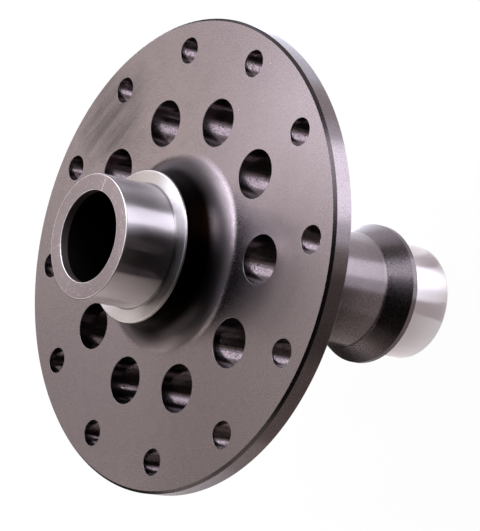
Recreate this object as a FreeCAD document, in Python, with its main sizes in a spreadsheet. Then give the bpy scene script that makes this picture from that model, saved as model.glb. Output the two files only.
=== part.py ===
import FreeCAD, Part
import os
import Sketcher
from FreeCAD import Placement, Rotation, Vector

# Differential spool, turned from one forging: a flange that carries the ring gear, a bearing journal
# on each side and one splined bore that locks both axle shafts together.
# Frame: +Z runs up the axle line, out of the short end. z = 0 is the rear face of the flange, where
# the ring gear seats. +X passes through one bolt hole and one lightening hole. Millimetres.

SIZES = (
    ("flange_diameter", 174.4, "outside of the flange"),
    ("flange_thickness", 8.5, "ring gear seat to the front face"),
    ("rim_chamfer", 1.0, "front corner of the rim"),
    ("rim_rear_chamfer", 1.2, "rear corner of the rim"),
    ("bolt_hole", 9.8, "clearance for a 3/8 inch bolt"),
    ("bolt_count", 12, "ring gear bolts"),
    ("bolt_wall", 6.45, "metal between the bolt holes and the rim"),
    ("lightening_count", 10, "lightening holes"),
    ("lightening_wall", 4.65, "metal between the lightening holes and the register"),
    ("lightening_land", 3.65, "flat between the hub cove and the lightening holes"),
    ("hole_break", 0.15, "broken corners of the flange holes"),
    ("pilot_wall", 6.95, "metal between the bolt holes and the register that centres the ring gear"),
    ("pilot_height", 8.5, "register, behind the seat"),
    ("pilot_chamfer", 1.0, "lead-in of the register"),
    ("undercut_width", 1.6, "groove in the seat beside the register"),
    ("undercut_depth", 0.5, "the same groove"),
    ("pilot_cove", 8.0, "blend from the register to the neck"),
    ("hub_diameter", 56.2, "raised hub under the short journal"),
    ("hub_height", 15.5, "front face to the upper bearing shoulder"),
    ("hub_chamfer", 0.7, "outer corner of the upper shoulder"),
    ("hub_cove", 10.0, "blend from the hub to the front face"),
    ("journal_diameter", 45.24, "seat of each tapered roller bearing"),
    ("journal_length", 21.7, "seat, shoulder to end face"),
    ("journal_chamfer", 0.45, "lead-in of each journal"),
    ("journal_root", 0.8, "fillet between journal and shoulder"),
    ("shoulder_spacing", 115.2, "upper to lower bearing shoulder"),
    ("neck_diameter", 45.0, "long neck below the flange"),
    ("collar_diameter", 55.1, "collar that backs the lower bearing"),
    ("collar_width", 2.5, "straight rim of the collar"),
    ("collar_break", 0.3, "broken corner of the lower shoulder"),
    ("flare_length", 9.8, "cone between neck and collar"),
    ("flare_root", 4.0, "fillet where the cone leaves the neck"),
    ("spline_pitch", 31.75, "pitch circle of the 24/48 axle spline"),
    ("spline_major", 32.8, "bottoms of the tooth spaces"),
    ("spline_minor", 30.7, "tips of the teeth"),
    ("spline_count", 30, "teeth"),
    ("flank_angle", 45.0, "pressure angle in degrees"),
    ("spline_inset", 34.0, "mouth of the bore to the first full tooth"),
    ("tooth_lead", 1.5, "cone that leads onto the teeth"),
    ("mouth_clearance", 0.1, "mouth over the major diameter of the spline"),
    ("mouth_length", 3.0, "bright land inside each mouth"),
    ("mouth_chamfer", 0.3, "corner of each mouth"),
    ("bore_relief", 1.4, "clearance bore over the major diameter of the spline"),
    ("relief_step", 0.5, "cone behind each mouth land"),
)

# Radii and heights on the axle line, as expressions over the sizes
JOURNAL = "Sizes.journal_diameter / 2"
HUB = "Sizes.hub_diameter / 2"
RIM = "Sizes.flange_diameter / 2"
BOLT_HOLE = "Sizes.bolt_hole / 2"
BOLTS = f"({RIM} - Sizes.bolt_wall - {BOLT_HOLE})"
REGISTER = f"({BOLTS} - {BOLT_HOLE} - Sizes.pilot_wall)"
LIGHTENING_OUTER = f"({REGISTER} - Sizes.lightening_wall)"
LIGHTENING_INNER = f"({HUB} + Sizes.hub_cove + Sizes.lightening_land)"
LIGHTENING_HOLE = f"(({LIGHTENING_OUTER} - {LIGHTENING_INNER}) / 2)"
LIGHTENING = f"(({LIGHTENING_OUTER} + {LIGHTENING_INNER}) / 2)"
NECK = "Sizes.neck_diameter / 2"
COLLAR = "Sizes.collar_diameter / 2"
MOUTH = "(Sizes.spline_major + Sizes.mouth_clearance) / 2"
CLEARANCE = "(Sizes.spline_major + Sizes.bore_relief) / 2"
TIPS = "Sizes.spline_minor / 2"
SPACES = "Sizes.spline_major / 2"

SEAT = "0"
FRONT_FACE = "Sizes.flange_thickness"
REGISTER_FACE = "(-1 * Sizes.pilot_height)"
UPPER_SHOULDER = f"({FRONT_FACE} + Sizes.hub_height)"
TOP = f"({UPPER_SHOULDER} + Sizes.journal_length)"
LOWER_SHOULDER = f"({UPPER_SHOULDER} - Sizes.shoulder_spacing)"
COLLAR_FRONT = f"({LOWER_SHOULDER} + Sizes.collar_width)"
FLARE_START = f"({COLLAR_FRONT} + Sizes.flare_length)"
BOTTOM = f"({LOWER_SHOULDER} - Sizes.journal_length)"
SPLINE_TOP = f"({TOP} - Sizes.spline_inset)"
SPLINE_BOTTOM = f"({BOTTOM} + Sizes.spline_inset)"

AXIS = "0"
INSIDE_BORE = 0.5      # how far a tooth space starts inside the teeth's tips
SAME_PLACE = 1e-4      # two edges this close are the same


def size_sheet(doc):
    """The driving sizes: name, value and what each one measures."""
    sheet = doc.addObject("Spreadsheet::Sheet", "Sizes")
    for row, (alias, value, note) in enumerate(SIZES, start=1):
        sheet.set(f"A{row}", alias)
        sheet.set(f"B{row}", str(value))
        sheet.set(f"C{row}", note)
        sheet.setAlias(f"B{row}", alias)
    doc.recompute()


def number(body, expression):
    """Value of an expression over the sizes."""
    result = body.evalExpression(expression)
    return float(getattr(result, "Value", result))


def volume(body):
    """Volume of what stands so far, nought before the first feature."""
    return 0.0 if body.Shape.isNull() else body.Shape.Volume


def sketch_on(body, role, name, height=None):
    """An empty sketch on an origin plane, raised by the expression height."""
    plane = next(feature for feature in body.Origin.OriginFeatures if feature.Role == role)
    sketch = body.newObject("Sketcher::SketchObject", name)
    sketch.AttachmentSupport = (plane, [""])
    sketch.MapMode = "FlatFace"
    if height is not None:
        sketch.AttachmentOffset = Placement(Vector(0, 0, number(body, height)), Rotation())
        sketch.setExpression("AttachmentOffset.Base.z", height)
    return sketch


def constrain(body, sketch, expression, kind, *where):
    """A sketch dimension that follows an expression."""
    index = sketch.addConstraint(Sketcher.Constraint(kind, *where, number(body, expression)))
    sketch.setExpression(f"Constraints[{index}]", expression)


def outline(body, sketch, corners):
    """A closed outline of straight lines through corners, each a pair of expressions."""
    places = [Vector(number(body, across), number(body, up), 0) for across, up in corners]
    for start, end in zip(places, places[1:] + places[:1]):
        sketch.addGeometry(Part.LineSegment(start, end))
    for line, (across, up) in enumerate(corners):
        sketch.addConstraint(Sketcher.Constraint("Coincident", line, 1, (line - 1) % len(corners), 2))
        constrain(body, sketch, across, "DistanceX", -1, 1, line, 1)
        constrain(body, sketch, up, "DistanceY", -1, 1, line, 1)


def rings(body, feature, places):
    """Names of the circular edges at places: radius, height and distance from the axle line."""
    wanted = [tuple(number(body, expression) for expression in place) for place in places]
    found = {place: [] for place in wanted}
    for index, edge in enumerate(feature.Shape.Edges, start=1):
        if not isinstance(edge.Curve, Part.Circle):
            continue
        centre = edge.Curve.Center
        off_axis = Vector(centre.x, centre.y, 0).Length
        for radius, height, distance in wanted:
            gaps = (edge.Curve.Radius - radius, centre.z - height, off_axis - distance)
            if max(abs(gap) for gap in gaps) < SAME_PLACE:
                found[radius, height, distance].append(f"Edge{index}")
    missing = [place for place, names in found.items() if not names]
    if missing:
        raise RuntimeError(f"{feature.Label} has no edge at {missing}")
    return sorted({name for names in found.values() for name in names})


def dress(body, kind, name, places, amount):
    """A fillet or chamfer, sized by an expression, on ring edges of the newest feature."""
    base = body.Tip
    names = rings(body, base, places)
    feature = body.newObject(f"PartDesign::{kind}", name)
    feature.Base = (base, names)
    feature.setExpression("Radius" if kind == "Fillet" else "Size", amount)
    body.Document.recompute()


def turn(body, kind, name, corners):
    """A revolved outline round the axle line: Revolution adds it and Groove takes it away."""
    profile = sketch_on(body, "XZ_Plane", f"{name}_outline")
    outline(body, profile, corners)
    before = volume(body)
    feature = body.newObject(f"PartDesign::{kind}", name)
    feature.Profile = profile
    feature.ReferenceAxis = (profile, ["V_Axis"])
    feature.Angle = 360
    body.Document.recompute()
    if (volume(body) - before) * (1 if kind == "Revolution" else -1) <= 0:
        raise RuntimeError(f"{name} changed nothing")


def cut_ring(body, name, sketch, depth, count):
    """A pocket from a level sketch, down by an expression, repeated round the axle line."""
    before = volume(body)
    pocket = body.newObject("PartDesign::Pocket", f"{name}_cut")
    pocket.Profile = sketch
    pocket.setExpression("Length", depth)
    body.Document.recompute()
    if volume(body) >= before:
        raise RuntimeError(f"{name} cut nothing")
    pattern = body.newObject("PartDesign::PolarPattern", name)
    pattern.Originals = [pocket]
    pattern.Axis = (sketch, ["N_Axis"])
    pattern.Angle = 360
    pattern.setExpression("Occurrences", count)
    body.Tip = pattern
    body.Document.recompute()


def turned_blank(body):
    """The forging turned outside: journals, hub, flange with its register, neck, flare and collar."""
    undercut = f"{REGISTER} + Sizes.undercut_width"
    turn(body, "Revolution", "blank", (
        (AXIS, TOP), (JOURNAL, TOP), (JOURNAL, UPPER_SHOULDER), (HUB, UPPER_SHOULDER), (HUB, FRONT_FACE),
        (RIM, FRONT_FACE), (RIM, SEAT), (undercut, SEAT), (undercut, "Sizes.undercut_depth"),
        (REGISTER, "Sizes.undercut_depth"), (REGISTER, REGISTER_FACE), (NECK, REGISTER_FACE),
        (NECK, FLARE_START), (COLLAR, COLLAR_FRONT), (COLLAR, LOWER_SHOULDER),
        (JOURNAL, LOWER_SHOULDER), (JOURNAL, BOTTOM), (AXIS, BOTTOM),
    ))


def outside_edges(body):
    """Coves, root fillets and chamfers of the turned outside."""
    dress(body, "Fillet", "face_cove", [(HUB, FRONT_FACE, AXIS)], "Sizes.hub_cove")
    dress(body, "Fillet", "register_cove", [(NECK, REGISTER_FACE, AXIS)], "Sizes.pilot_cove")
    dress(body, "Fillet", "flare_fillet", [(NECK, FLARE_START, AXIS)], "Sizes.flare_root")
    dress(body, "Fillet", "journal_fillets",
          [(JOURNAL, UPPER_SHOULDER, AXIS), (JOURNAL, LOWER_SHOULDER, AXIS)], "Sizes.journal_root")
    dress(body, "Chamfer", "rim_front", [(RIM, FRONT_FACE, AXIS)], "Sizes.rim_chamfer")
    dress(body, "Chamfer", "rim_rear", [(RIM, SEAT, AXIS)], "Sizes.rim_rear_chamfer")
    dress(body, "Chamfer", "register_lead", [(REGISTER, REGISTER_FACE, AXIS)], "Sizes.pilot_chamfer")
    dress(body, "Chamfer", "upper_shoulder_corner", [(HUB, UPPER_SHOULDER, AXIS)], "Sizes.hub_chamfer")
    dress(body, "Chamfer", "lower_shoulder_corner", [(COLLAR, LOWER_SHOULDER, AXIS)], "Sizes.collar_break")
    dress(body, "Chamfer", "journal_leads", [(JOURNAL, TOP, AXIS), (JOURNAL, BOTTOM, AXIS)],
          "Sizes.journal_chamfer")


def axle_bore(body):
    """The bore, stepped alike from both ends: mouth land, clearance, then the tips of the teeth."""
    upper_land = f"{TOP} - Sizes.mouth_length"
    lower_land = f"{BOTTOM} + Sizes.mouth_length"
    turn(body, "Groove", "bore", (
        (AXIS, TOP), (MOUTH, TOP), (MOUTH, upper_land), (CLEARANCE, f"{upper_land} - Sizes.relief_step"),
        (CLEARANCE, f"{SPLINE_TOP} + Sizes.tooth_lead"), (TIPS, SPLINE_TOP), (TIPS, SPLINE_BOTTOM),
        (CLEARANCE, f"{SPLINE_BOTTOM} - Sizes.tooth_lead"), (CLEARANCE, f"{lower_land} + Sizes.relief_step"),
        (MOUTH, lower_land), (MOUTH, BOTTOM), (AXIS, BOTTOM),
    ))
    dress(body, "Chamfer", "mouth_corners", [(MOUTH, TOP, AXIS), (MOUTH, BOTTOM, AXIS)],
          "Sizes.mouth_chamfer")


def spline_teeth(body):
    """The broached tooth spaces, straight down the bore between the two clearance bores."""
    start = f"({SPLINE_TOP} + Sizes.tooth_lead)"
    inside = f"({TIPS} - {INSIDE_BORE})"
    on_pitch = "pi * Sizes.spline_pitch / Sizes.spline_count / 4"
    slope = "tan(Sizes.flank_angle * 1 deg)"
    wide = f"({on_pitch} + (Sizes.spline_pitch / 2 - {inside}) * {slope})"
    narrow = f"({on_pitch} - ({SPACES} - Sizes.spline_pitch / 2) * {slope})"
    space = sketch_on(body, "XY_Plane", "tooth_space", start)
    outline(body, space, (
        (inside, f"-1 * {wide}"), (SPACES, f"-1 * {narrow}"), (SPACES, narrow), (inside, wide),
    ))
    cut_ring(body, "teeth", space, f"{start} - ({SPLINE_BOTTOM} - Sizes.tooth_lead)", "Sizes.spline_count")


def flange_holes(body, name, radius, distance, depth, count):
    """A ring of holes drilled square through the flange, the first of them on +X."""
    drill = sketch_on(body, "XY_Plane", f"{name}_drill", FRONT_FACE)
    centre = Vector(number(body, distance), 0, 0)
    drill.addGeometry(Part.Circle(centre, Vector(0, 0, 1), number(body, radius)))
    drill.addConstraint(Sketcher.Constraint("PointOnObject", 0, 3, -1))
    constrain(body, drill, distance, "DistanceX", -1, 1, 0, 3)
    constrain(body, drill, radius, "Radius", 0)
    cut_ring(body, name, drill, depth, count)


def drilled_flange(body):
    """Bolt holes through the rim, lightening holes through the register, and their broken corners."""
    flange_holes(body, "bolt_holes", BOLT_HOLE, BOLTS, FRONT_FACE, "Sizes.bolt_count")
    flange_holes(body, "lightening_holes", LIGHTENING_HOLE, LIGHTENING, f"{FRONT_FACE} - {REGISTER_FACE}",
                 "Sizes.lightening_count")
    dress(body, "Chamfer", "hole_corners",
          [(BOLT_HOLE, FRONT_FACE, BOLTS), (BOLT_HOLE, SEAT, BOLTS),
           (LIGHTENING_HOLE, FRONT_FACE, LIGHTENING), (LIGHTENING_HOLE, REGISTER_FACE, LIGHTENING)],
          "Sizes.hole_break")


def spool(doc):
    """The whole part, one solid."""
    body = doc.addObject("PartDesign::Body", "spool")
    body.Label = "spool"
    turned_blank(body)
    outside_edges(body)
    axle_bore(body)
    spline_teeth(body)
    drilled_flange(body)
    return body


def check(doc, pieces):
    """Stop if any object failed to compute or any piece is not one valid solid."""
    doc.recompute()
    for item in doc.Objects:
        if {"Invalid", "Error"} & set(item.State):
            raise RuntimeError(f"{item.Label}: {item.State}")
    for piece in pieces:
        shape = piece.Shape
        if shape.isNull() or not shape.isValid() or len(shape.Solids) != 1:
            raise RuntimeError(f"{piece.Label} is not one valid solid")


def main():
    doc = FreeCAD.newDocument("differential_spool")
    size_sheet(doc)
    pieces = [spool(doc)]
    check(doc, pieces)
    os.makedirs("parts", exist_ok=True)
    for piece in pieces:
        piece.Shape.exportStep(f"parts/{piece.Label}.step")
        box = piece.Shape.BoundBox
        print(piece.Label, f"{box.XLength:.2f} x {box.YLength:.2f} x {box.ZLength:.2f} mm,",
              f"{piece.Shape.Volume / 1000:.2f} cm3, {len(piece.Shape.Faces)} faces")


main()
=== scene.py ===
import math

import bmesh
import bpy
from bpy.props import FloatProperty, FloatVectorProperty, IntProperty, PointerProperty
from mathutils import Matrix, Vector


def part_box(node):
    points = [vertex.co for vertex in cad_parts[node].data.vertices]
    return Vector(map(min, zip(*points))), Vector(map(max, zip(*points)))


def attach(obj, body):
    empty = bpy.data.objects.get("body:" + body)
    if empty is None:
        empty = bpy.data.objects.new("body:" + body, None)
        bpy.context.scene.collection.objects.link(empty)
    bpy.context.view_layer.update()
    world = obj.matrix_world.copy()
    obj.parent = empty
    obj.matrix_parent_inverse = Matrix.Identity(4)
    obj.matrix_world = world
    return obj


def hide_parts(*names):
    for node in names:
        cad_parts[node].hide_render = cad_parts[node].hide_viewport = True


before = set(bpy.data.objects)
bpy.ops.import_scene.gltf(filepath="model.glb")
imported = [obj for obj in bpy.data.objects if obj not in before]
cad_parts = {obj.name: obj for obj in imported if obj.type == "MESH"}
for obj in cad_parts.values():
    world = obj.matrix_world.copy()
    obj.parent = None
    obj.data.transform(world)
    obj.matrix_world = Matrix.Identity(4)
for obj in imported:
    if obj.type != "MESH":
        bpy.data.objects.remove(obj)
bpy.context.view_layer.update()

bl_info = {
    "name": "Differential spool",
    "version": (1, 0, 0),
    "blender": (4, 5, 0),
    "location": "View3D > Sidebar > Spool",
    "description": "Turns, drills and finishes a differential spool, and sets a studio for it",
    "category": "Add Mesh",
}

CAD_LOW, CAD_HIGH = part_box("spool")
MM = 0.001
TURN = 2 * math.pi

# Order of the spool's material slots
FINISHES = ("blackened", "ground", "faced", "end_face", "corner", "drilled", "land", "bored")


def length(name, description, millimetres):
    """A size that a user may change, given in millimetres and kept in metres."""
    return FloatProperty(name=name, description=description, default=millimetres * MM, min=0.0, precision=5,
                         unit="LENGTH")


def tint(name, description, colour):
    """A colour that a user may change."""
    return FloatVectorProperty(name=name, description=description, default=(*colour, 1.0), size=4, min=0.0,
                               max=1.0, subtype="COLOR")


class SpoolSizes(bpy.types.PropertyGroup):
    """Sizes of the turned and drilled spool. Heights run up the axle line from the ring gear seat."""

    rim: FloatProperty(name="Flange radius", description="Outside of the flange", default=CAD_HIGH.x,
                       unit="LENGTH")
    top: FloatProperty(name="Upper end", description="Height of the upper end face", default=CAD_HIGH.z,
                       unit="LENGTH")
    bottom: FloatProperty(name="Lower end", description="Height of the lower end face", default=CAD_LOW.z,
                          unit="LENGTH")
    flange: length("Flange thickness", "Ring gear seat to the front face", 8.5)
    rim_chamfer: length("Rim chamfer", "Front corner of the rim", 1.0)
    rim_rear_chamfer: length("Rim rear chamfer", "Rear corner of the rim", 1.2)
    register: length("Register radius", "Register that centres the ring gear", 64.0)
    register_height: length("Register height", "Register, behind the seat", 8.5)
    register_chamfer: length("Register lead-in", "Corner of the register", 1.0)
    register_cove: length("Register cove", "Blend from the register to the neck", 8.0)
    undercut: length("Undercut width", "Groove in the seat beside the register", 1.6)
    undercut_depth: length("Undercut depth", "The same groove", 0.5)
    hub: length("Hub radius", "Raised hub under the short journal", 28.1)
    hub_height: length("Hub height", "Front face to the upper bearing shoulder", 15.5)
    hub_chamfer: length("Hub chamfer", "Outer corner of the upper shoulder", 0.7)
    hub_cove: length("Hub cove", "Blend from the hub to the front face", 10.0)
    journal: length("Journal radius", "Seat of each bearing", 22.62)
    journal_length: length("Journal length", "Seat, shoulder to end face", 21.7)
    journal_chamfer: length("Journal chamfer", "Lead-in of each journal", 0.45)
    journal_root: length("Journal root", "Fillet between journal and shoulder", 0.8)
    neck: length("Neck radius", "Long neck below the flange", 22.5)
    collar: length("Collar radius", "Collar that backs the lower bearing", 27.55)
    collar_width: length("Collar width", "Straight rim of the collar", 2.5)
    collar_break: length("Collar break", "Broken corner of the lower shoulder", 0.3)
    flare: length("Flare length", "Cone between neck and collar", 9.8)
    flare_root: length("Flare root", "Fillet where the cone leaves the neck", 4.0)
    mouth: length("Mouth radius", "Land inside each end of the bore", 16.45)
    mouth_length: length("Mouth length", "The same land", 3.0)
    mouth_chamfer: length("Mouth chamfer", "Corner of each mouth", 0.3)
    clearance: length("Clearance radius", "Bore between each mouth and the teeth", 17.1)
    clearance_step: length("Clearance step", "Cone behind each mouth land", 0.5)
    teeth_inset: length("Teeth inset", "End face to the first full tooth", 34.0)
    teeth_lead: length("Teeth lead-in", "Cone that leads onto the teeth", 1.5)
    tooth_tip: length("Tooth tip radius", "Tips of the spline teeth", 15.35)
    tooth_root: length("Tooth root radius", "Bottoms of the tooth spaces", 16.4)
    teeth: IntProperty(name="Teeth", description="Teeth of the axle spline", default=30, min=3)
    bolt_circle: length("Bolt circle", "Distance of the bolt holes from the axle line", 75.85)
    bolt_hole: length("Bolt hole radius", "Clearance for a ring gear bolt", 4.9)
    bolts: IntProperty(name="Bolt holes", description="Ring gear bolts", default=12, min=1)
    lightening_circle: length("Lightening circle", "Distance of the large holes from the axle line", 50.55)
    lightening_hole: length("Lightening hole radius", "Bore of each large hole", 8.8)
    lightenings: IntProperty(name="Lightening holes", description="Large holes", default=10, min=1)
    hole_break: length("Hole break", "Broken corners of the holes", 0.12)


class SpoolFinishes(bpy.types.PropertyGroup):
    """Colours of the spool's steel, with painted light on the mouth land and painted shade in the bore."""

    black: tint("Blackened steel", "Satin black oxide on the turned faces", (0.137, 0.116, 0.119))
    ground: tint("Ground steel", "Bright bearing journals", (0.835, 0.770, 0.785))
    faced: tint("Faced steel", "Freshly faced shoulders", (0.370, 0.350, 0.345))
    end_face: tint("End face", "Faced and oiled ends", (0.150, 0.126, 0.126))
    corner: tint("Worn corner", "Corners with the oxide rubbed off", (0.500, 0.465, 0.455))
    drilled: tint("Drilled steel", "Walls of the holes", (0.076, 0.060, 0.063))
    # Painted light: the land is coloured lighter than the bore to paint the light that falls in at the
    # mouth
    land: tint("Mouth land", "Turned land just inside each end of the bore", (0.310, 0.260, 0.225))
    # Painted shade: the bore's near-black colour paints the shade inside the bore
    bored: tint("Bored steel", "Oily bore and its teeth", (0.030, 0.025, 0.024))


class SpoolStudio(bpy.types.PropertyGroup):
    """Camera, lamps and floor."""

    lens: FloatProperty(name="Lens", description="Focal length for a picture 24 mm high", default=88.628,
                        unit="CAMERA")
    camera: FloatVectorProperty(name="Camera", description="Where the camera stands", subtype="TRANSLATION",
                                unit="LENGTH", default=(0.431908, -0.370653, 0.437075))
    aim: FloatVectorProperty(name="Aim", description="Point in the middle of the picture",
                             subtype="TRANSLATION", unit="LENGTH", default=(0.000476, 0.000553, -0.024384))
    roll: FloatProperty(name="Roll", description="Turn of the camera about its own line of sight",
                        subtype="ANGLE", unit="ROTATION", default=math.radians(78.2615))
    floor: tint("Floor", "Plain pale floor", (0.900, 0.900, 0.900))


def polar(radius, angle, height):
    """A point round the axle line."""
    return Vector((radius * math.cos(angle), radius * math.sin(angle), height))


# Mesh


# One tooth space of the spline with a half tooth on each side: share of the pitch, and share of the depth
TOOTH = ((-0.443, 0.0), (-0.266, 0.5), (-0.089, 1.0), (0.0, 1.0), (0.089, 1.0), (0.266, 0.5), (0.443, 0.0),
         (0.5, 0.0))

# Sides of the drilled holes' walls
BOLT_HOLE_SIDES = 48
LARGE_HOLE_SIDES = 64

# Faces that turn by more than this meet in a sharp edge
SHARP_TURN = math.radians(20)


def rounded(before, corner, after, size, steps):
    """Points of a corner in the half plane: a fillet of radius size, or with one step a chamfer."""
    here = Vector(corner)
    back = (Vector(before) - here).normalized()
    ahead = (Vector(after) - here).normalized()
    if steps == 1:
        return [here + back * size, here + ahead * size]
    half = back.angle(ahead) / 2
    reach = size / math.tan(half)
    centre = here + (back + ahead).normalized() * (size / math.sin(half))
    first = here + back * reach - centre
    last = here + ahead * reach - centre
    sweep = first.angle_signed(last)
    return [centre + Matrix.Rotation(-sweep * step / steps, 2) @ first for step in range(steps + 1)]


def half_outline(corners):
    """Points and finishes of an outline.

    Each of its corners says: radius, height, size and steps of the rounding, the finish of the corner and
    the finish of the run to the next corner.
    """
    points = []
    finishes = []
    for index, (radius, height, size, steps, corner_finish, run_finish) in enumerate(corners):
        if steps == 0:
            points.append(Vector((radius, height)))
        else:
            before = corners[index - 1][:2]
            after = corners[(index + 1) % len(corners)][:2]
            found = rounded(before, (radius, height), after, size, steps)
            points.extend(found)
            finishes.extend([corner_finish] * (len(found) - 1))
        finishes.append(run_finish)
    return points, finishes


def ring(mesh, radius, height, count):
    """A ring of vertices on the axle line."""
    return [mesh.verts.new(polar(radius, TURN * step / count, height)) for step in range(count)]


def tooth_ring(mesh, sizes, height):
    """A ring of vertices that follows the spline."""
    pitch = TURN / sizes.teeth
    loop = []
    for tooth in range(sizes.teeth):
        for share, deep in TOOTH:
            radius = sizes.tooth_tip + (sizes.tooth_root - sizes.tooth_tip) * deep
            loop.append(mesh.verts.new(polar(radius, (tooth + share) * pitch, height)))
    return loop


def bridge(mesh, upper, lower, finish):
    """Faces between two rings of as many vertices, facing away from the solid."""
    count = len(upper)
    for step in range(count):
        following = (step + 1) % count
        face = mesh.faces.new((upper[step], lower[step], lower[following], upper[following]))
        face.material_index = FINISHES.index(finish)
        face.smooth = True


def ring_edges(loop):
    """Edges between neighbours of a closed ring of vertices."""
    edges = []
    for here, following in zip(loop, loop[1:] + loop[:1]):
        shared = [edge for edge in here.link_edges if edge.other_vert(here) is following]
        edges.append(shared[0])
    return edges


def hole_rings(mesh, distance, radius, chamfer, high, low, angle, count):
    """The wall of a hole, with its front corner broken. Returns its end rings, upper and lower."""
    middle = polar(distance, angle, 0)
    levels = ((radius + chamfer, high), (radius, high - chamfer), (radius, low))
    rings = []
    for reach, height in levels:
        rings.append([mesh.verts.new(middle + polar(reach, angle + TURN * step / count, height))
                      for step in range(count)])
    for finish, upper, lower in zip(("corner", "drilled"), rings, rings[1:]):
        bridge(mesh, lower, upper, finish)
    return rings[0], rings[-1]


def drilled_circle(mesh, sizes, distance, radius, low, holes, sides):
    """The walls of a circle of holes through the flange. Returns their upper and their lower rings."""
    walls = []
    for hole in range(holes):
        walls.append(hole_rings(mesh, distance, radius, sizes.hole_break, sizes.flange, low,
                                TURN * hole / holes, sides))
    return [upper for upper, _ in walls], [lower for _, lower in walls]


def fill_plate(mesh, loops, up, finish):
    """A flat face between an outer ring, an inner ring and the rings of its holes."""
    edges = [edge for loop in loops for edge in ring_edges(loop)]
    made = bmesh.ops.triangle_fill(mesh, use_beauty=True, use_dissolve=False, edges=edges,
                                   normal=Vector((0, 0, up)))
    for face in made["geom"]:
        if isinstance(face, bmesh.types.BMFace):
            face.normal_update()
            if face.normal.z * up < 0:
                face.normal_flip()
            face.material_index = FINISHES.index(finish)
            face.smooth = True


def spool_outline(sizes):
    """Corners from the upper mouth over the outside to the lower mouth, then up the bore."""
    front = sizes.flange
    shoulder = front + sizes.hub_height
    lower_shoulder = sizes.bottom + sizes.journal_length
    collar_front = lower_shoulder + sizes.collar_width
    flare_start = collar_front + sizes.flare
    register_face = -sizes.register_height
    groove = sizes.register + sizes.undercut
    lower_land = sizes.bottom + sizes.mouth_length
    upper_land = sizes.top - sizes.mouth_length
    lower_teeth = sizes.bottom + sizes.teeth_inset
    upper_teeth = sizes.top - sizes.teeth_inset
    return (
        (sizes.mouth, sizes.top, sizes.mouth_chamfer, 5, "corner", "end_face"),
        (sizes.journal, sizes.top, sizes.journal_chamfer, 5, "corner", "ground"),
        (sizes.journal, shoulder, sizes.journal_root, 6, "faced", "faced"),
        (sizes.hub, shoulder, sizes.hub_chamfer, 5, "corner", "blackened"),
        (sizes.hub, front, sizes.hub_cove, 20, "blackened", "plate"),
        (sizes.rim, front, sizes.rim_chamfer, 1, "blackened", "blackened"),
        (sizes.rim, 0.0, sizes.rim_rear_chamfer, 1, "blackened", "plate"),
        (groove, 0.0, 0.0, 0, "", "blackened"),
        (groove, sizes.undercut_depth, 0.0, 0, "", "blackened"),
        (sizes.register, sizes.undercut_depth, 0.0, 0, "", "faced"),
        (sizes.register, register_face, sizes.register_chamfer, 1, "corner", "plate"),
        (sizes.neck, register_face, sizes.register_cove, 18, "blackened", "blackened"),
        (sizes.neck, flare_start, sizes.flare_root, 8, "blackened", "blackened"),
        (sizes.collar, collar_front, 0.0, 0, "", "blackened"),
        (sizes.collar, lower_shoulder, sizes.collar_break, 1, "corner", "faced"),
        (sizes.journal, lower_shoulder, sizes.journal_root, 6, "faced", "ground"),
        (sizes.journal, sizes.bottom, sizes.journal_chamfer, 5, "corner", "end_face"),
        (sizes.mouth, sizes.bottom, sizes.mouth_chamfer, 5, "corner", "land"),
        (sizes.mouth, lower_land, 0.0, 0, "", "bored"),
        (sizes.clearance, lower_land + sizes.clearance_step, 0.0, 0, "", "bored"),
        (sizes.clearance, lower_teeth - sizes.teeth_lead, 0.0, 0, "", "teeth"),
        (sizes.clearance, upper_teeth + sizes.teeth_lead, 0.0, 0, "", "bored"),
        (sizes.clearance, upper_land - sizes.clearance_step, 0.0, 0, "", "bored"),
        (sizes.mouth, upper_land, 0.0, 0, "", "land"),
    )


def spool_mesh(sizes):
    """The whole spool as one closed mesh."""
    mesh = bmesh.new()
    count = sizes.teeth * len(TOOTH)
    points, finishes = half_outline(spool_outline(sizes))
    rings = [ring(mesh, radius, height, count) for radius, height in points]
    plates = []
    for index, finish in enumerate(finishes):
        upper, lower = rings[index], rings[(index + 1) % len(rings)]
        if finish == "plate":
            plates.append((upper, lower))
        elif finish == "teeth":
            low_teeth = tooth_ring(mesh, sizes, sizes.bottom + sizes.teeth_inset)
            high_teeth = tooth_ring(mesh, sizes, sizes.top - sizes.teeth_inset)
            for above, below in ((upper, low_teeth), (low_teeth, high_teeth), (high_teeth, lower)):
                bridge(mesh, above, below, "bored")
        else:
            bridge(mesh, upper, lower, finish)
    front, seat, register = plates
    bolt_tops, bolt_ends = drilled_circle(mesh, sizes, sizes.bolt_circle, sizes.bolt_hole, 0.0, sizes.bolts,
                                          BOLT_HOLE_SIDES)
    large_tops, large_ends = drilled_circle(mesh, sizes, sizes.lightening_circle, sizes.lightening_hole,
                                            -sizes.register_height, sizes.lightenings, LARGE_HOLE_SIDES)
    fill_plate(mesh, [*front, *bolt_tops, *large_tops], 1, "blackened")
    fill_plate(mesh, [*seat, *bolt_ends], -1, "blackened")
    fill_plate(mesh, [*register, *large_ends], -1, "blackened")
    return mesh


# Materials


def new_group(name, inputs, outputs):
    """A shader node group with named sockets, given as (name, kind, default)."""
    group = bpy.data.node_groups.new(name, "ShaderNodeTree")
    for label, kind, default in inputs:
        made = group.interface.new_socket(label, in_out="INPUT", socket_type=f"NodeSocket{kind}")
        if default is not None:
            made.default_value = default
    for label, kind in outputs:
        group.interface.new_socket(label, in_out="OUTPUT", socket_type=f"NodeSocket{kind}")
    return group, group.nodes.new("NodeGroupInput"), group.nodes.new("NodeGroupOutput")


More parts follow.
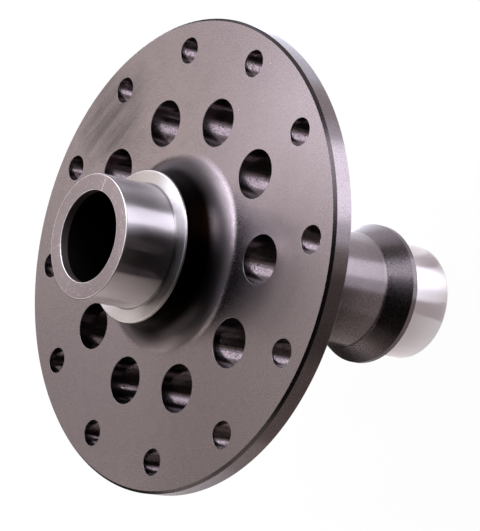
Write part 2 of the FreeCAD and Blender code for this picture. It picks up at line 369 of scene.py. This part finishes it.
def math_node(tree, operation, first, second=None, clamp=False):
    """A Math node whose inputs are sockets or numbers. Returns its output."""
    node = tree.nodes.new("ShaderNodeMath")
    node.operation = operation
    node.use_clamp = clamp
    for index, value in enumerate((first, second)):
        if value is None:
            continue
        if isinstance(value, (int, float)):
            node.inputs[index].default_value = value
        else:
            tree.links.new(value, node.inputs[index])
    return node.outputs[0]


def vector_node(tree, operation, first, second=None):
    """A Vector Math node whose inputs are sockets or tuples. Returns the node."""
    node = tree.nodes.new("ShaderNodeVectorMath")
    node.operation = operation
    for index, value in enumerate((first, second)):
        if value is None:
            continue
        if isinstance(value, tuple):
            node.inputs[index].default_value = value
        else:
            tree.links.new(value, node.inputs[index])
    return node


def noise(tree, place, scale, detail=2.0, roughness=0.5, line=False):
    """A noise value from 0 to 1, at a point in space or at a distance along a line."""
    node = tree.nodes.new("ShaderNodeTexNoise")
    node.noise_dimensions = "1D" if line else "3D"
    node.inputs["Scale"].default_value = scale
    node.inputs["Detail"].default_value = detail
    node.inputs["Roughness"].default_value = roughness
    tree.links.new(place, node.inputs["W" if line else "Vector"])
    return node.outputs["Fac"]


def remap(tree, value, low, high, to_low=0.0, to_high=1.0):
    """A value moved from one range to another and held inside it."""
    node = tree.nodes.new("ShaderNodeMapRange")
    node.interpolation_type = "SMOOTHSTEP"
    for name, number in (("From Min", low), ("From Max", high), ("To Min", to_low), ("To Max", to_high)):
        node.inputs[name].default_value = number
    tree.links.new(value, node.inputs["Value"])
    return node.outputs["Result"]


# How often the oxide's clouds, smudges and grain repeat in a metre
CLOUD_REPEATS = 22.0
SMUDGE_REPEATS = 150.0
GRAIN_REPEATS = 2600.0

# How far a scratch swings from side to side, and how often it bends and breaks in a metre
SCRATCH_SWING = 2 * MM
SCRATCH_BENDS = 260.0
SCRATCH_BREAKS = 900.0

# The wipe on the front face: its middle, the bearing it runs along in degrees, its half sizes, and how
# often its streaks repeat along it and across it
SMEAR_PLACE = (-0.010, 0.069, 0.0085)
SMEAR_BEARING = -170
SMEAR_SIZE = (0.029, 0.023, 0.002)
SMEAR_STREAKS = (0.5, 3.5, 0.0)

# Share of the deep tool marks among the fine ones, and height of the grain beside them
DEEP_SHARE = 0.4
GRAIN_HEIGHT = 0.6

# Brushed steel stretches highlights across the tool's path, a quarter turn from it
ACROSS_PATH = 0.25

# Slope of the bearing shoulders' faces, which the tool leaves slightly domed
FACED_FALL = 0.10

# How much of each colour the painted shade in the hub's corner holds back, and how much rougher the cove is
CORNER_PAINTED_SHADE = (0.97, 0.985, 0.995)
COVE_ROUGHNESS = 0.15


def build_tool_marks():
    """Marks that run round the tool's line, fine and close, with a few deeper ones.

    Reach 1 follows a lathe tool, out from the axle line and down, and reach 0 a drill, straight down.
    """
    group, given, made = new_group("Tool marks", (("Pitch", "Float", 0.0003), ("Reach", "Float", 1.0)),
                                   (("Height", "Float"), ("Out", "Float")))
    place = group.nodes.new("ShaderNodeTexCoord")
    split = group.nodes.new("ShaderNodeSeparateXYZ")
    group.links.new(place.outputs["Object"], split.inputs[0])
    squares = math_node(group, "ADD", math_node(group, "MULTIPLY", split.outputs["X"], split.outputs["X"]),
                        math_node(group, "MULTIPLY", split.outputs["Y"], split.outputs["Y"]))
    out = math_node(group, "MULTIPLY", math_node(group, "SQRT", squares), given.outputs["Reach"])
    group.links.new(out, made.inputs["Out"])
    across = math_node(group, "ADD", out, split.outputs["Z"])
    count = math_node(group, "DIVIDE", across, given.outputs["Pitch"])
    fine = noise(group, count, 1.0, 1.0, 0.5, line=True)
    deep = noise(group, count, 0.13, 2.0, 0.6, line=True)
    mixed = math_node(group, "ADD", math_node(group, "MULTIPLY", fine, 1.0 - DEEP_SHARE),
                      math_node(group, "MULTIPLY", deep, DEEP_SHARE))
    group.links.new(mixed, made.inputs["Height"])
    return group


def build_mottle():
    """Uneven oxide: broad clouds, finger-sized smudges and fine grain, as values round nought."""
    group, given, made = new_group(
        "Mottle", (("Clouds", "Float", 1.0), ("Smudges", "Float", 1.0), ("Grain", "Float", 1.0)),
        (("Shade", "Float"), ("Grain", "Float")))
    place = group.nodes.new("ShaderNodeTexCoord").outputs["Object"]
    clouds = math_node(group, "SUBTRACT", noise(group, place, CLOUD_REPEATS), 0.5)
    smudges = math_node(group, "SUBTRACT", noise(group, place, SMUDGE_REPEATS, 4.0, 0.65), 0.5)
    grain = math_node(group, "SUBTRACT", noise(group, place, GRAIN_REPEATS, 1.0), 0.5)
    shade = math_node(group, "ADD", math_node(group, "MULTIPLY", clouds, given.outputs["Clouds"]),
                      math_node(group, "MULTIPLY", smudges, given.outputs["Smudges"]))
    whole = math_node(group, "ADD", shade, math_node(group, "MULTIPLY", grain, given.outputs["Grain"]))
    group.links.new(whole, made.inputs["Shade"])
    group.links.new(grain, made.inputs["Grain"])
    return group


def build_specks():
    """Round specks, such as dust or pits: 1 in a speck and 0 between.

    Spacing is in metres, radius a share of it, and share how many of the places hold a speck.
    """
    group, given, made = new_group("Specks", (("Spacing", "Float", 0.001), ("Radius", "Float", 0.3),
                                              ("Share", "Float", 0.2)), (("Mask", "Float"),))
    place = group.nodes.new("ShaderNodeTexCoord").outputs["Object"]
    cells = group.nodes.new("ShaderNodeTexVoronoi")
    group.links.new(place, cells.inputs["Vector"])
    group.links.new(math_node(group, "DIVIDE", 1.0, given.outputs["Spacing"]), cells.inputs["Scale"])
    split = group.nodes.new("ShaderNodeSeparateXYZ")
    group.links.new(cells.outputs["Color"], split.inputs[0])
    kept = math_node(group, "LESS_THAN", split.outputs["X"], given.outputs["Share"])
    reach = math_node(group, "DIVIDE", cells.outputs["Distance"], given.outputs["Radius"])
    speck = remap(group, reach, 0.6, 1.0, 1.0, 0.0)
    group.links.new(math_node(group, "MULTIPLY", speck, kept), made.inputs["Mask"])
    return group


def build_scratch():
    """A scratch that runs out from the axle line at a bearing in degrees, with wandering, broken edges."""
    group, given, made = new_group("Scratch", (("Bearing", "Float", 0.0), ("Width", "Float", 0.0002)),
                                   (("Mask", "Float"),))
    place = group.nodes.new("ShaderNodeTexCoord").outputs["Object"]
    split = group.nodes.new("ShaderNodeSeparateXYZ")
    group.links.new(place, split.inputs[0])
    turn = math_node(group, "RADIANS", given.outputs["Bearing"])
    sine = math_node(group, "SINE", turn)
    cosine = math_node(group, "COSINE", turn)
    across = math_node(group, "SUBTRACT", math_node(group, "MULTIPLY", split.outputs["X"], sine),
                       math_node(group, "MULTIPLY", split.outputs["Y"], cosine))
    along = math_node(group, "ADD", math_node(group, "MULTIPLY", split.outputs["X"], cosine),
                      math_node(group, "MULTIPLY", split.outputs["Y"], sine))
    side = math_node(group, "SUBTRACT", noise(group, place, SCRATCH_BENDS), 0.5)
    wander = math_node(group, "MULTIPLY", side, SCRATCH_SWING)
    off = math_node(group, "ABSOLUTE", math_node(group, "ADD", across, wander))
    line = remap(group, math_node(group, "DIVIDE", off, given.outputs["Width"]), 0.4, 1.0, 1.0, 0.0)
    worn = remap(group, noise(group, place, SCRATCH_BREAKS), 0.35, 0.6, 0.25, 1.0)
    one_side = math_node(group, "GREATER_THAN", along, 0.0)
    group.links.new(math_node(group, "MULTIPLY", math_node(group, "MULTIPLY", line, worn), one_side),
                    made.inputs["Mask"])
    return group


def build_smear():
    """An oily wipe across the front face: streaks inside a long soft oval."""
    group, given, made = new_group("Smear", (), (("Mask", "Float"),))
    place = group.nodes.new("ShaderNodeTexCoord").outputs["Object"]
    laid = group.nodes.new("ShaderNodeMapping")
    laid.vector_type = "TEXTURE"
    laid.inputs["Location"].default_value = SMEAR_PLACE
    laid.inputs["Rotation"].default_value = (0.0, 0.0, math.radians(SMEAR_BEARING))
    laid.inputs["Scale"].default_value = SMEAR_SIZE
    group.links.new(place, laid.inputs["Vector"])
    reach = vector_node(group, "LENGTH", laid.outputs[0])
    oval = remap(group, reach.outputs["Value"], 0.35, 1.0, 1.0, 0.0)
    stretched = vector_node(group, "MULTIPLY", laid.outputs[0], SMEAR_STREAKS)
    streaks = remap(group, noise(group, stretched.outputs["Vector"], 1.3, 3.0, 0.6), 0.3, 0.65, 0.25, 1.0)
    group.links.new(math_node(group, "MULTIPLY", oval, streaks), made.inputs["Mask"])
    return group


def build_shelter():
    """Masks of the hub's cove and of the corner above it, which takes the painted shade: 0 on the flange, 1
    inside.
    """
    group, given, made = new_group("Shelter", (("Foot", "Float", 0.0085), ("Head", "Float", 0.0150)),
                                   (("Cove", "Float"), ("Corner", "Float")))
    place = group.nodes.new("ShaderNodeTexCoord")
    split = group.nodes.new("ShaderNodeSeparateXYZ")
    group.links.new(place.outputs["Object"], split.inputs[0])
    climbed = math_node(group, "SUBTRACT", split.outputs["Z"], given.outputs["Foot"])
    span = math_node(group, "SUBTRACT", given.outputs["Head"], given.outputs["Foot"])
    share = math_node(group, "DIVIDE", climbed, span)
    group.links.new(remap(group, share, 0.0, 0.12), made.inputs["Cove"])
    group.links.new(remap(group, share, 0.1, 1.0), made.inputs["Corner"])
    return group


def place_group(tree, group, **values):
    """A group placed in a material with its own values."""
    node = tree.nodes.new("ShaderNodeGroup")
    node.node_tree = group
    for name, value in values.items():
        node.inputs[name].default_value = value
    return node


def shaded(tree, colour, shade):
    """A colour made lighter or darker by a value round nought."""
    scaled = vector_node(tree, "SCALE", tuple(colour[:3]))
    tree.links.new(math_node(tree, "ADD", shade, 1.0), scaled.inputs["Scale"])
    return scaled.outputs["Vector"]


def bump(tree, height, distance):
    """A normal from a height that is a share of a distance in metres."""
    node = tree.nodes.new("ShaderNodeBump")
    node.inputs["Distance"].default_value = distance
    node.inputs["Strength"].default_value = 1.0
    tree.links.new(height, node.inputs["Height"])
    return node.outputs["Normal"]


def turned_steel(name, groups, colour, roughness, anisotropy, clouds, smudges, grain, spread, pitch, depth,
                 reach=1.0, fall=0.0, marks_of=()):
    """Steel with a tool's finish: marks round the tool's line, uneven oxide and grain.

    Spread is how much smoother the steel is where the oxide is lighter. Pitch and depth are those of the
    tool marks. Fall is the slope of a face that the tool left slightly domed. Marks_of lists placed masks
    as (group, its values, how much lighter or darker the steel is there).
    """
    tool_marks, mottle = groups
    material = bpy.data.materials.new(name)
    material.use_nodes = True
    tree = material.node_tree
    shader = tree.nodes["Principled BSDF"]
    shader.inputs["Metallic"].default_value = 1.0
    shader.inputs["Anisotropic"].default_value = anisotropy
    shader.inputs["Anisotropic Rotation"].default_value = ACROSS_PATH
    tangent = tree.nodes.new("ShaderNodeTangent")
    tangent.direction_type = "RADIAL"
    tangent.axis = "Z"
    tree.links.new(tangent.outputs[0], shader.inputs["Tangent"])
    cloth = place_group(tree, mottle, Clouds=clouds, Smudges=smudges, Grain=grain)
    shade = cloth.outputs["Shade"]
    for mask, values, gain in marks_of:
        placed = place_group(tree, mask, **values)
        shade = math_node(tree, "ADD", shade, math_node(tree, "MULTIPLY", placed.outputs["Mask"], gain))
    tree.links.new(shaded(tree, colour, shade), shader.inputs["Base Color"])
    uneven = math_node(tree, "MULTIPLY", cloth.outputs["Shade"], -spread)
    tree.links.new(math_node(tree, "ADD", uneven, roughness, clamp=True), shader.inputs["Roughness"])
    marks = place_group(tree, tool_marks, Pitch=pitch, Reach=reach)
    height = math_node(tree, "ADD", marks.outputs["Height"],
                       math_node(tree, "MULTIPLY", cloth.outputs["Grain"], GRAIN_HEIGHT))
    if fall:
        height = math_node(tree, "ADD", height,
                           math_node(tree, "MULTIPLY", marks.outputs["Out"], -fall / depth))
    tree.links.new(bump(tree, height, depth), shader.inputs["Normal"])
    return material


def roughen_cove_and_shade_corner(material, shelter):
    """Rougher oxide on the hub's cove, and painted shade that darkens its corner."""
    tree = material.node_tree
    shader = tree.nodes["Principled BSDF"]
    place = place_group(tree, shelter)
    colour = shader.inputs["Base Color"].links[0].from_socket
    # Painted shade: the corner's colour is held back nearly to black
    shade_held_back = vector_node(tree, "SCALE", CORNER_PAINTED_SHADE)
    tree.links.new(place.outputs["Corner"], shade_held_back.inputs["Scale"])
    left = vector_node(tree, "SUBTRACT", (1.0, 1.0, 1.0), shade_held_back.outputs["Vector"])
    corner_in_shade = vector_node(tree, "MULTIPLY", colour, left.outputs["Vector"])
    tree.links.new(corner_in_shade.outputs["Vector"], shader.inputs["Base Color"])
    rough = shader.inputs["Roughness"].links[0].from_socket
    more = math_node(tree, "MULTIPLY", place.outputs["Cove"], COVE_ROUGHNESS)
    tree.links.new(math_node(tree, "ADD", rough, more), shader.inputs["Roughness"])


def spool_materials(finishes):
    """Materials in the order of the spool's slots."""
    groups = (build_tool_marks(), build_mottle())
    specks = build_specks()
    scratch = build_scratch()
    dust = (specks, {"Spacing": 4.0 * MM, "Radius": 0.05, "Share": 0.25}, 2.0)
    sparkle = (specks, {"Spacing": 0.9 * MM, "Radius": 0.32, "Share": 0.30}, 1.0)
    pits = (specks, {"Spacing": 1.3 * MM, "Radius": 0.32, "Share": 0.45}, -0.85)
    wipe = (build_smear(), {}, -0.52)
    long_scratch = (scratch, {"Bearing": 40.0, "Width": 0.45 * MM}, 1.3)
    thin_scratch = (scratch, {"Bearing": -148.0, "Width": 0.25 * MM}, 0.8)
    side_scratch = (scratch, {"Bearing": 158.0, "Width": 0.20 * MM}, 0.6)
    made = {
        "blackened": turned_steel(
            "Blackened steel", groups, finishes.black, roughness=0.26, anisotropy=0.5, clouds=0.28,
            smudges=0.14, grain=0.50, spread=0.6, pitch=0.35 * MM, depth=0.004 * MM, marks_of=(dust, wipe)),
        "ground": turned_steel(
            "Ground steel", groups, finishes.ground, roughness=0.36, anisotropy=1.0, clouds=0.05,
            smudges=0.05, grain=0.05, spread=0.2, pitch=0.12 * MM, depth=0.0006 * MM),
        "faced": turned_steel(
            "Faced steel", groups, finishes.faced, roughness=0.38, anisotropy=0.9, clouds=0.08,
            smudges=0.10, grain=0.20, spread=0.2, pitch=0.25 * MM, depth=0.002 * MM, fall=FACED_FALL),
        "end_face": turned_steel(
            "End face steel", groups, finishes.end_face, roughness=0.42, anisotropy=0.2, clouds=0.12,
            smudges=0.20, grain=0.70, spread=0.4, pitch=0.3 * MM, depth=0.002 * MM,
            marks_of=(sparkle, long_scratch, thin_scratch, side_scratch)),
        "corner": turned_steel(
            "Worn corner steel", groups, finishes.corner, roughness=0.36, anisotropy=0.0, clouds=0.20,
            smudges=0.50, grain=0.60, spread=0.4, pitch=0.3 * MM, depth=0.002 * MM),
        "drilled": turned_steel(
            "Drilled steel", groups, finishes.drilled, roughness=0.16, anisotropy=0.0, clouds=0.20,
            smudges=0.30, grain=2.80, spread=0.2, pitch=0.5 * MM, depth=0.012 * MM, reach=0.0,
            marks_of=(pits,)),
        # Painted light on the mouth land
        "land": turned_steel(
            "Mouth land steel", groups, finishes.land, roughness=0.50, anisotropy=0.0, clouds=0.30,
            smudges=0.40, grain=0.40, spread=0.5, pitch=0.4 * MM, depth=0.002 * MM),
        # Painted shade inside the bore
        "bored": turned_steel(
            "Bored steel", groups, finishes.bored, roughness=0.45, anisotropy=0.0, clouds=0.20,
            smudges=0.20, grain=0.20, spread=0.5, pitch=0.4 * MM, depth=0.002 * MM),
    }
    roughen_cove_and_shade_corner(made["blackened"], build_shelter())
    return [made[name] for name in FINISHES]


# Pieces


class SPOOL_OT_turn(bpy.types.Operator):
    """Turn, bore, broach and drill the spool, and finish its steel"""

    bl_idname = "spool.turn"
    bl_label = "Turn the spool"
    bl_options = {"REGISTER", "UNDO"}

    def execute(self, context):
        sizes = context.scene.spool_sizes
        work = spool_mesh(sizes)
        data = bpy.data.meshes.new("spool_steel")
        work.to_mesh(data)
        work.free()
        for material in spool_materials(context.scene.spool_finishes):
            data.materials.append(material)
        data.set_sharp_from_angle(angle=SHARP_TURN)
        piece = bpy.data.objects.new("spool_steel", data)
        context.scene.collection.objects.link(piece)
        weighted = piece.modifiers.new("Even normals", "WEIGHTED_NORMAL")
        weighted.keep_sharp = True
        weighted.weight = 100
        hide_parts("spool")
        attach(piece, "root")
        return {"FINISHED"}


# Stage


# Glowing cards on the floor, in bands, that paint bright and dark reflections into the metal. Each band is
# given by its near and far reach in metres, and each card in it by its first and last bearing in degrees
# and its brightness
CARDS = {
    (0.0235, 0.038): ((11, 34, 0.4), (306, 327, 0.6)),
    (0.036, 0.078): ((205, 285, 0.6),),
    (0.038, 0.052): ((285, 325, 0.4),),
    (0.038, 0.055): ((-15, 16, 2.8), (16, 60, 0.9), (60, 100, 1.0), (100, 145, 1.5)),
    (0.038, 0.078): ((145, 205, 0.05),),
    (0.038, 0.11): ((-35, -15, 1.9),),
    (0.052, 0.078): ((285, 325, 0.95),),
    (0.055, 0.11): ((-15, 16, 3.9), (16, 60, 1.5), (60, 100, 1.9), (100, 145, 2.6)),
    (0.078, 0.11): ((145, 325, 0.03),),
    (0.11, 0.165): ((45, 85, 1.1), (85, 130, 1.8)),
    (0.11, 0.185): ((130, 325, 0.02),),
    (0.11, 0.36): ((-25, -15, 2.4), (-15, 16, 6.2), (16, 26, 1.9), (26, 45, 1.2), (325, 335, 0.6)),
    (0.165, 0.36): ((45, 85, 2.1), (85, 130, 3.4)),
    (0.185, 0.36): ((130, 180, 0.3), (180, 205, 1.1), (205, 230, 1.3), (230, 250, 0.9), (250, 290, 0.5),
                    (290, 325, 0.25)),
    (0.36, 3.9): ((210, 270, 0.8), (-90, 210, 0.02)),
}

# Straight pieces along the arc of a card, and how far the cards lie over the spool's lowest point
CARD_STEPS = 8
CARD_LIFT = 0.2 * MM

# Colours of the dim and of the bright glowing cards, and the brightnesses at which each is full
DIM_CARD_GLOW = (1.13, 0.96, 0.90, 1.0)
BRIGHT_CARD_GLOW = (0.96, 0.97, 1.11, 1.0)
CARD_GLOW_RANGE = (0.3, 2.2)

# The cards' glow is this much cooler beside the spool, which fades out between two distances in metres
COOLER_BESIDE = 0.4
BESIDE_SPOOL = (0.046, 0.054)

# Lamp colours: daylight for the large boxes, and lamplight for the weaker ones
COOL = (0.99, 1.0, 1.14)
WARM = (1.08, 1.0, 0.97)

# Soft boxes: bearing and rise of the middle, width and height, all in degrees, then brightness and colour
BOXES = {
    "key_left": (97, 55, 30, 31, 5.5, COOL),
    "key_right": (120, 56, 16, 31, 4.3, COOL),
    "key_wing": (68, 58, 24, 28, 1.5, COOL),
    "key_edge": (143, 52, 26, 18, 1.8, WARM),
    "key_top": (132, 68, 24, 10, 2.8, COOL),
    "key_foot": (125, 33, 20, 14, 2.3, WARM),
    "back": (151, 33, 28, 14, 1.4, WARM),
    "back_left": (181, 33, 28, 14, 2.4, WARM),
    "side": (11, 18, 28, 14, 10.5, COOL),
    "side_top": (8, 33, 32, 14, 2.2, COOL),
    "skirt": (67, 22, 50, 16, 0.35, WARM),
    "post": (140, 11, 10, 26, 2.8, WARM),
    "low_back": (90, 4, 70, 11, 0.9, COOL),
    "low_left": (215, 10, 40, 20, 0.8, WARM),
    "left": (240, 26, 24, 26, 0.4, WARM),
    "zenith": (139, 83, 26, 13, 1.1, COOL),
}

# Metres from the frame's origin to each soft box
LAMP_DISTANCE = 1.4

# Curtain: radius at the foot and at the head, height, and how far its middle is over the floor
CURTAIN_FOOT = 3.8
CURTAIN_HEAD = 3.0
CURTAIN_HEIGHT = 4.2
CURTAIN_MIDDLE = 2.0
CURTAIN_COLOUR = (0.004, 0.004, 0.004, 1.0)

# Floor: its radius, how far it is under the spool, and how white it is to the camera, metal and glass
FLOOR_RADIUS = 4.0
FLOOR_GAP = 0.02 * MM
FLOOR_WHITE = 0.97

# World: its colour, how strongly it lights the scene, and how much stronger it is where it is seen
WORLD_COLOUR = (0.88, 0.88, 0.88, 1.0)
WORLD_FILL = 0.2
WORLD_SEEN = 0.8

# Camera: height of the picture in millimetres, and the nearest and farthest metre that it sees
SENSOR_HEIGHT = 24.0
CLIP_NEAR = 0.01
CLIP_FAR = 20.0


def soft_box(name, bearing, rise, width, height, brightness, colour):
    """A soft box that faces the spool. Its place and size are in degrees, as the spool sees them."""
    data = bpy.data.lights.new(name, "AREA")
    data.shape = "RECTANGLE"
    data.size = 2 * LAMP_DISTANCE * math.tan(math.radians(width / 2))
    data.size_y = 2 * LAMP_DISTANCE * math.tan(math.radians(height / 2))
    data.energy = math.pi * data.size * data.size_y * brightness
    data.color = colour
    holder = bpy.data.objects.new(name, data)
    out = LAMP_DISTANCE * math.cos(math.radians(rise))
    up = LAMP_DISTANCE * math.sin(math.radians(rise))
    holder.location = polar(out, math.radians(bearing), up)
    holder.rotation_euler = (-holder.location).to_track_quat("-Z", "Y").to_euler()
    holder.visible_camera = False
    bpy.context.scene.collection.objects.link(holder)


def reflection_card_glow():
    """Glowing cards that paint reflections into the metal: each face glows as its own value says."""
    material = bpy.data.materials.new("Glowing reflection cards")
    material.use_nodes = True
    tree = material.node_tree
    tree.nodes.clear()
    own = tree.nodes.new("ShaderNodeAttribute")
    own.attribute_name = "brightness"
    glow = tree.nodes.new("ShaderNodeEmission")
    paper = tree.nodes.new("ShaderNodeMix")
    paper.data_type = "RGBA"
    place = tree.nodes.new("ShaderNodeTexCoord").outputs["Object"]
    reach = vector_node(tree, "LENGTH", place).outputs["Value"]
    cooler = remap(tree, reach, *BESIDE_SPOOL, COOLER_BESIDE, 0.0)
    share = math_node(tree, "ADD", remap(tree, own.outputs["Fac"], *CARD_GLOW_RANGE), cooler, clamp=True)
    tree.links.new(share, paper.inputs["Factor"])
    paper.inputs["A"].default_value = DIM_CARD_GLOW
    paper.inputs["B"].default_value = BRIGHT_CARD_GLOW
    tree.links.new(paper.outputs["Result"], glow.inputs["Color"])
    tree.links.new(own.outputs["Fac"], glow.inputs["Strength"])
    out = tree.nodes.new("ShaderNodeOutputMaterial")
    tree.links.new(glow.outputs[0], out.inputs["Surface"])
    return material


def lay_cards():
    """Glowing cards that lie on the floor round the spool and show only in the metal, as painted
    reflections.
    """
    work = bmesh.new()
    values = work.faces.layers.float.new("brightness")
    for band, cards in CARDS.items():
        for first, last, brightness in cards:
            arc = [math.radians(first + (last - first) * step / CARD_STEPS)
                   for step in range(CARD_STEPS + 1)]
            near, far = [[work.verts.new(polar(reach, angle, 0.0)) for angle in arc] for reach in band]
            for step in range(CARD_STEPS):
                face = work.faces.new((near[step], far[step], far[step + 1], near[step + 1]))
                face[values] = brightness
    data = bpy.data.meshes.new("floor_cards")
    work.to_mesh(data)
    work.free()
    data.materials.append(reflection_card_glow())
    sheet = bpy.data.objects.new("floor_cards", data)
    sheet.location.z = CAD_LOW.z + CARD_LIFT
    sheet.visible_camera = False
    sheet.visible_diffuse = False
    sheet.visible_shadow = False
    bpy.context.scene.collection.objects.link(sheet)


def seen_directly(tree):
    """1 for rays that show the background to the camera, to metal or through glass, and 0 for the rest."""
    path = tree.nodes.new("ShaderNodeLightPath")
    seen = math_node(tree, "ADD", path.outputs["Is Camera Ray"], path.outputs["Is Glossy Ray"])
    return math_node(tree, "ADD", seen, path.outputs["Is Transmission Ray"], clamp=True)


def hang_curtain():
    """A dark round curtain with a lid, behind the lamps, that shows only in the metal and keeps it dark."""
    work = bmesh.new()
    bmesh.ops.create_cone(work, cap_ends=True, segments=48, radius1=CURTAIN_FOOT, radius2=CURTAIN_HEAD,
                          depth=CURTAIN_HEIGHT)
    bmesh.ops.delete(work, geom=[face for face in work.faces if face.normal.z < -0.9], context="FACES_ONLY")
    data = bpy.data.meshes.new("curtain")
    work.to_mesh(data)
    work.free()
    cloth = bpy.data.materials.new("Dark cloth")
    cloth.use_nodes = True
    shader = cloth.node_tree.nodes["Principled BSDF"]
    shader.inputs["Base Color"].default_value = CURTAIN_COLOUR
    shader.inputs["Roughness"].default_value = 1.0
    data.materials.append(cloth)
    curtain = bpy.data.objects.new("curtain", data)
    curtain.location.z = CAD_LOW.z + CURTAIN_MIDDLE
    curtain.visible_camera = False
    curtain.visible_diffuse = False
    curtain.visible_shadow = False
    curtain.visible_transmission = False
    bpy.context.scene.collection.objects.link(curtain)


def floor_material(colour):
    """Pale floor that cameras, metal and glass see nearly white, and that still takes a shadow."""
    material = bpy.data.materials.new("Pale floor")
    material.use_nodes = True
    tree = material.node_tree
    tree.nodes.clear()
    paint = tree.nodes.new("ShaderNodeBsdfDiffuse")
    paint.inputs["Color"].default_value = colour
    glow = tree.nodes.new("ShaderNodeEmission")
    glow.inputs["Color"].default_value = (1.0, 1.0, 1.0, 1.0)
    share = math_node(tree, "MULTIPLY", seen_directly(tree), FLOOR_WHITE)
    mixed = tree.nodes.new("ShaderNodeMixShader")
    tree.links.new(share, mixed.inputs[0])
    tree.links.new(paint.outputs[0], mixed.inputs[1])
    tree.links.new(glow.outputs[0], mixed.inputs[2])
    out = tree.nodes.new("ShaderNodeOutputMaterial")
    tree.links.new(mixed.outputs[0], out.inputs["Surface"])
    return material


def lay_floor(colour):
    """A plain floor just under the spool."""
    work = bmesh.new()
    bmesh.ops.create_circle(work, cap_ends=True, radius=FLOOR_RADIUS, segments=64)
    data = bpy.data.meshes.new("floor")
    work.to_mesh(data)
    work.free()
    data.materials.append(floor_material(colour))
    floor = bpy.data.objects.new("floor", data)
    floor.location.z = CAD_LOW.z - FLOOR_GAP
    bpy.context.scene.collection.objects.link(floor)


def light_world(scene):
    """A pale world that lights the scene weakly and is brighter where it is seen."""
    world = bpy.data.worlds.new("Studio")
    world.use_nodes = True
    tree = world.node_tree
    background = tree.nodes["Background"]
    background.inputs["Color"].default_value = WORLD_COLOUR
    seen = math_node(tree, "MULTIPLY", seen_directly(tree), WORLD_SEEN)
    tree.links.new(math_node(tree, "ADD", seen, WORLD_FILL), background.inputs["Strength"])
    scene.world = world


def set_camera(scene, studio):
    """A camera that looks at the studio's aim, turned about its line of sight by the studio's roll."""
    data = bpy.data.cameras.new("camera")
    data.sensor_fit = "VERTICAL"
    data.sensor_height = SENSOR_HEIGHT
    data.lens = studio.lens
    data.clip_start = CLIP_NEAR
    data.clip_end = CLIP_FAR
    holder = bpy.data.objects.new("camera", data)
    sight = (Vector(studio.aim) - Vector(studio.camera)).normalized()
    across = sight.cross(Vector((0, 0, 1))).normalized()
    upright = Matrix((across, across.cross(sight), -sight)).transposed()
    turn = Matrix.Rotation(studio.roll, 3, sight)
    holder.matrix_world = Matrix.Translation(studio.camera) @ (turn @ upright).to_4x4()
    scene.collection.objects.link(holder)
    scene.camera = holder


class SPOOL_OT_stage(bpy.types.Operator):
    """Set the floor, the lamps, the world and the camera"""

    bl_idname = "spool.stage"
    bl_label = "Set the studio"
    bl_options = {"REGISTER", "UNDO"}

    def execute(self, context):
        scene = context.scene
        studio = scene.spool_studio
        scene.view_settings.view_transform = "Standard"
        lay_floor(studio.floor)
        light_world(scene)
        hang_curtain()
        for name, setting in BOXES.items():
            soft_box(name, *setting)
        lay_cards()
        set_camera(scene, studio)
        return {"FINISHED"}


class SPOOL_PT_panel(bpy.types.Panel):
    """Lists the steps and the sizes that they use"""

    bl_label = "Differential spool"
    bl_idname = "SPOOL_PT_panel"
    bl_space_type = "VIEW_3D"
    bl_region_type = "UI"
    bl_category = "Spool"

    def draw(self, context):
        layout = self.layout
        for step in STEPS:
            layout.operator(step.bl_idname)
        for holder in (context.scene.spool_sizes, context.scene.spool_finishes, context.scene.spool_studio):
            box = layout.box()
            for name in holder.__annotations__:
                box.prop(holder, name)


STEPS = (SPOOL_OT_turn, SPOOL_OT_stage)
HOLDERS = {"spool_sizes": SpoolSizes, "spool_finishes": SpoolFinishes, "spool_studio": SpoolStudio}
CLASSES = (*HOLDERS.values(), *STEPS, SPOOL_PT_panel)


def register():
    for item in CLASSES:
        bpy.utils.register_class(item)
    for name, holder in HOLDERS.items():
        setattr(bpy.types.Scene, name, PointerProperty(type=holder))


def unregister():
    for name in HOLDERS:
        delattr(bpy.types.Scene, name)
    for item in reversed(CLASSES):
        bpy.utils.unregister_class(item)


def main():
    register()
    bpy.ops.spool.turn()
    bpy.ops.spool.stage()


if __name__ == "__main__":
    main()
